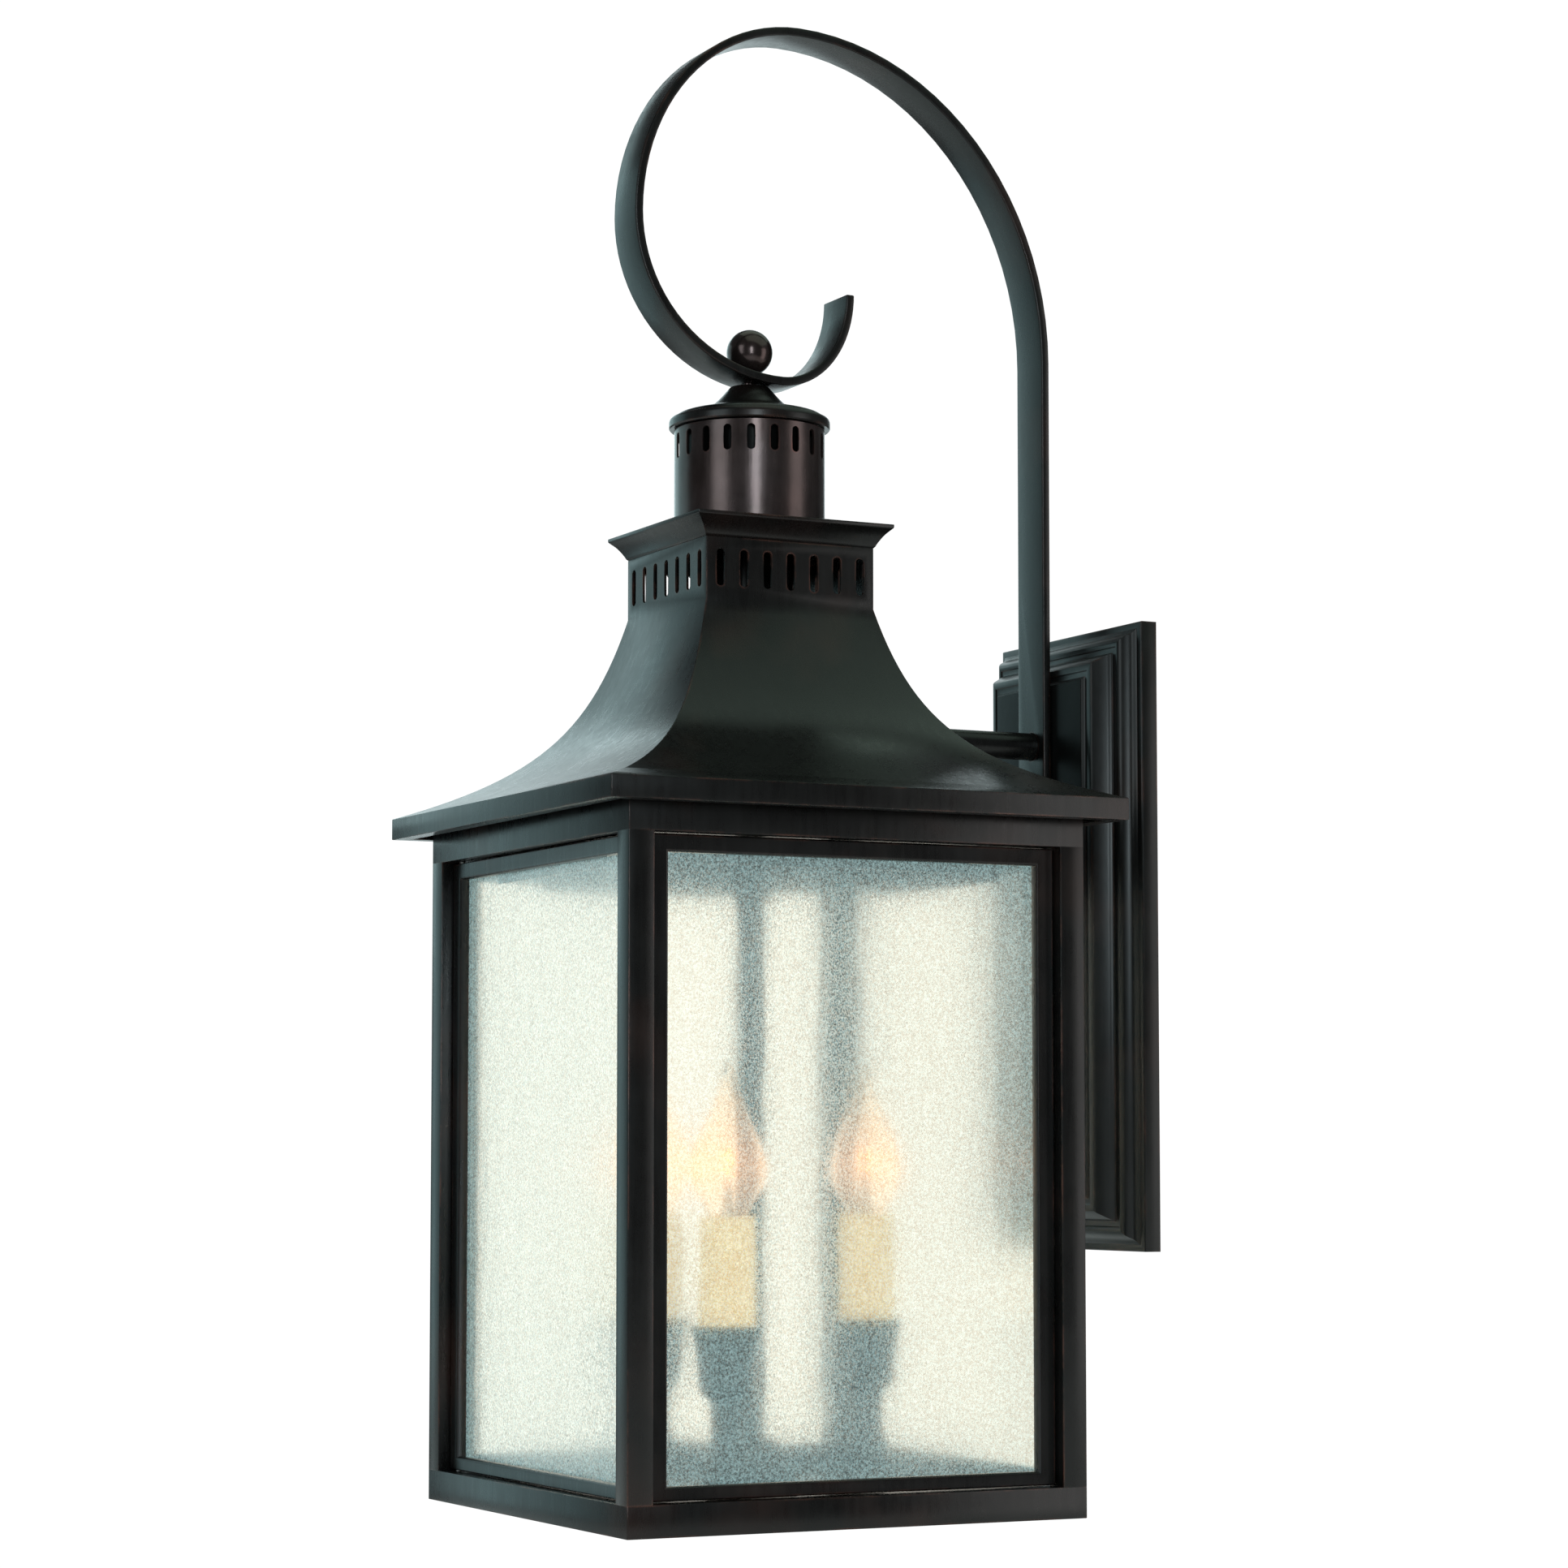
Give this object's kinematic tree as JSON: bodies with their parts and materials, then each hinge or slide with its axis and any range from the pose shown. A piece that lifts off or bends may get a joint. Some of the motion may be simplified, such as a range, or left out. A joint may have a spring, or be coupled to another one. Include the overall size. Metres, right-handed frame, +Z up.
{
  "type": "outdoor wall lantern",
  "caption": "Square glazed outdoor wall lantern with a flared roof, hung on a flat-bar scroll from a moulded backplate; its front pane is a hinged relamping door.",
  "frame": {"origin": "middle of the backplate's back, on the wall plane, at the face of the mounting crossbar", "axes": "+Z up; +Y into the wall, so the lantern stands out towards -Y; +X to the right as seen by someone facing the wall"},
  "size_m": [0.254, 0.308, 0.687],
  "materials": {
    "aged_bronze": "near-black oil-rubbed bronze paint, satin, rubbed through to brown along the edges",
    "seeded_glass": "clear glass full of small seeds and upright reams",
    "candle_cream": "cream candle sleeve, matt",
    "zinc_plate": "zinc-plated steel fasteners",
    "brass_base": "bulb screw base",
    "phenolic": "moulded black lamp holder",
    "bulb_glass": "thin clear bulb glass",
    "lead_cover": "black lead insulation"
  },
  "bodies": {
    "lantern": {"backplate": "aged_bronze", "scroll_strip": "aged_bronze", "support_arm": "aged_bronze", "cap_nut_lower": "aged_bronze", "cap_nut_upper": "aged_bronze", "bottom_frame": "aged_bronze", "top_frame": "aged_bronze", "post_front_left": "aged_bronze", "post_front_right": "aged_bronze", "post_rear_left": "aged_bronze", "post_rear_right": "aged_bronze", "floor_plate": "aged_bronze", "pane_frame_right": "aged_bronze", "pane_frame_rear": "aged_bronze", "pane_frame_left": "aged_bronze", "glass_retainer_right": "aged_bronze", "glass_retainer_rear": "aged_bronze", "glass_retainer_left": "aged_bronze", "roof_shell": "aged_bronze", "roof_collar": "aged_bronze", "chimney": "aged_bronze", "chimney_cap": "aged_bronze", "finial_ball": "aged_bronze", "stem_tube": "aged_bronze", "cluster_body": "aged_bronze", "candle_cup_1": "aged_bronze", "candle_cup_2": "aged_bronze", "candle_cup_3": "aged_bronze", "mounting_crossbar": "zinc_plate", "plate_stud_lower": "zinc_plate", "plate_stud_upper": "zinc_plate", "strip_screw_1": "zinc_plate", "strip_screw_2": "zinc_plate", "arm_nut_plate": "zinc_plate", "arm_nut_roof": "zinc_plate", "door_magnet": "zinc_plate", "hinge_pin_lower": "zinc_plate", "hinge_pin_upper": "zinc_plate", "roof_bridge": "zinc_plate", "stem_nut": "zinc_plate", "glass_right": "seeded_glass", "glass_rear": "seeded_glass", "glass_left": "seeded_glass", "candle_sleeve_1": "candle_cream", "lamp_socket_1": "phenolic", "bulb_base_1": "brass_base", "bulb_envelope_1": "bulb_glass", "candle_sleeve_2": "candle_cream", "lamp_socket_2": "phenolic", "bulb_base_2": "brass_base", "bulb_envelope_2": "bulb_glass", "candle_sleeve_3": "candle_cream", "lamp_socket_3": "phenolic", "bulb_base_3": "brass_base", "bulb_envelope_3": "bulb_glass", "supply_lead": "lead_cover"},
    "door": {"door_frame": "aged_bronze", "glass_door": "seeded_glass", "glass_retainer_door": "aged_bronze", "door_strike": "zinc_plate"}
  },
  "joints": [
    {"name": "door_hinge", "type": "hinge", "parent": "lantern", "child": "door", "pos_m": [-0.0939, -0.2852, -0.105], "axis": [0, 0, -1], "range_deg": [0, 105]}
  ]
}
